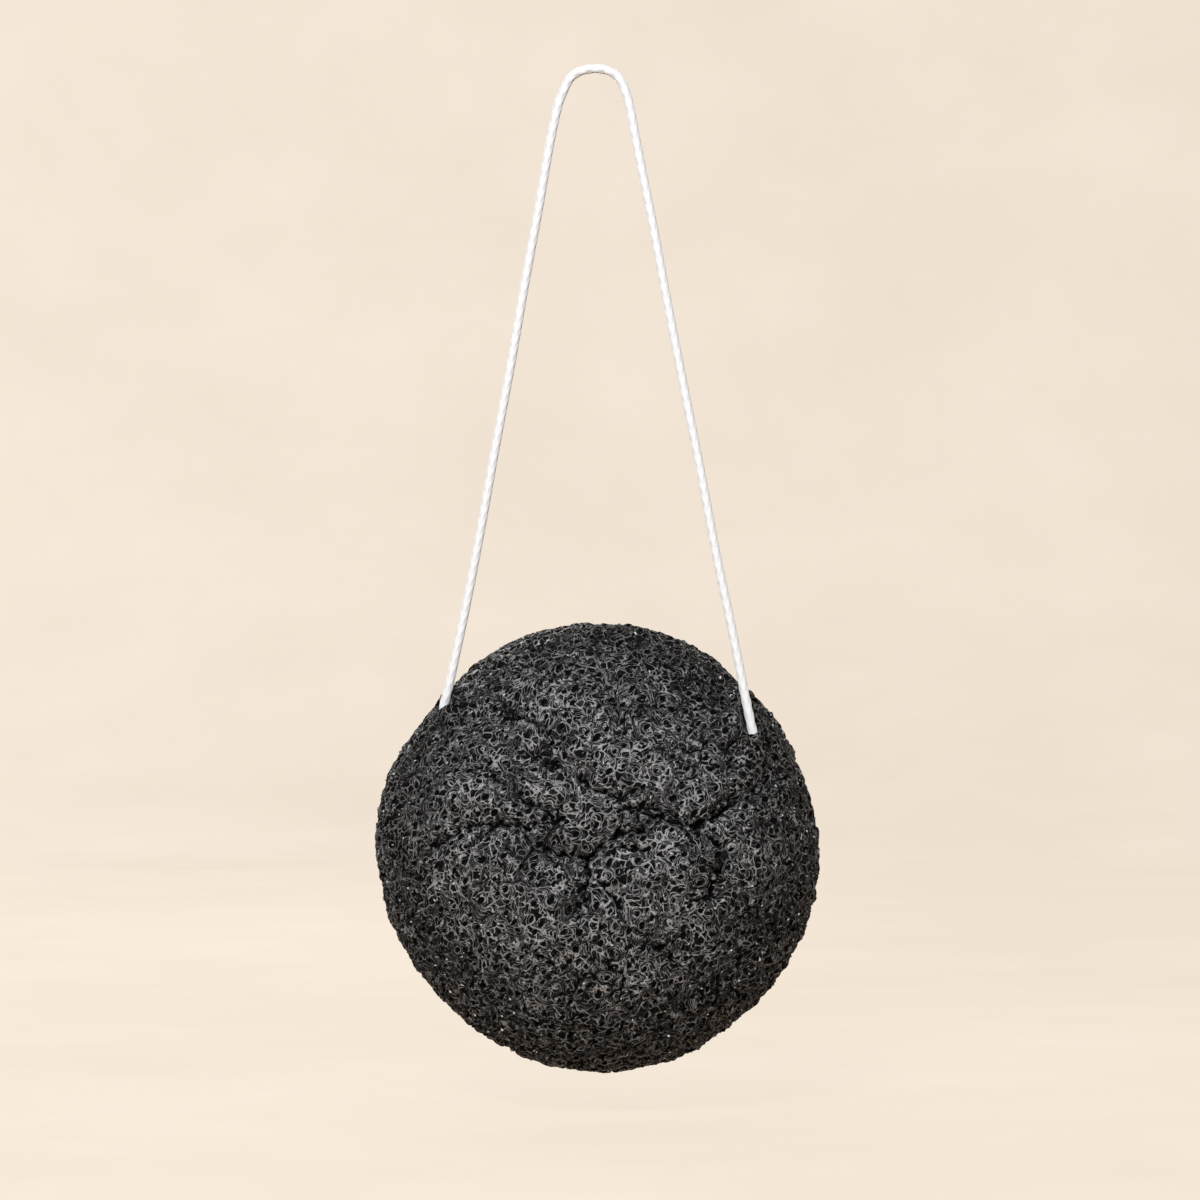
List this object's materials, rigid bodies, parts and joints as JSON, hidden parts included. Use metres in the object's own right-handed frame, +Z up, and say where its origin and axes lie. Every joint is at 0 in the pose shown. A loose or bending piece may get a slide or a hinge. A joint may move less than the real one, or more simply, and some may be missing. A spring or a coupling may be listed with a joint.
{
  "type": "konjac sponge",
  "caption": "Half-ball facial sponge of dark open-celled foam with a puckered dome and a flat back, hung on a thin white cord loop threaded through it.",
  "frame": {"origin": "the hanging point, on the inner side of the cord loop's crest", "axes": "+Z up along the hanging cord, +Y from the dome towards the flat back, +X to the right as seen by someone who faces the dome"},
  "size_m": [0.0802, 0.0384, 0.1806],
  "materials": {
    "foam": "matte",
    "cord": "matte"
  },
  "bodies": {
    "cord": {"hanging_cord": "cord", "threaded_run": "cord", "end_knot": "cord"},
    "sponge": {"sponge_body": "foam"}
  },
  "joints": [
    {"name": "sponge_swing", "type": "hinge", "parent": "cord", "child": "sponge", "pos_m": [0.0002, -0.00003, -0.11935], "axis": [-0.9883, 0.1235, 0.0896], "range_deg": [-12, 40]}
  ]
}
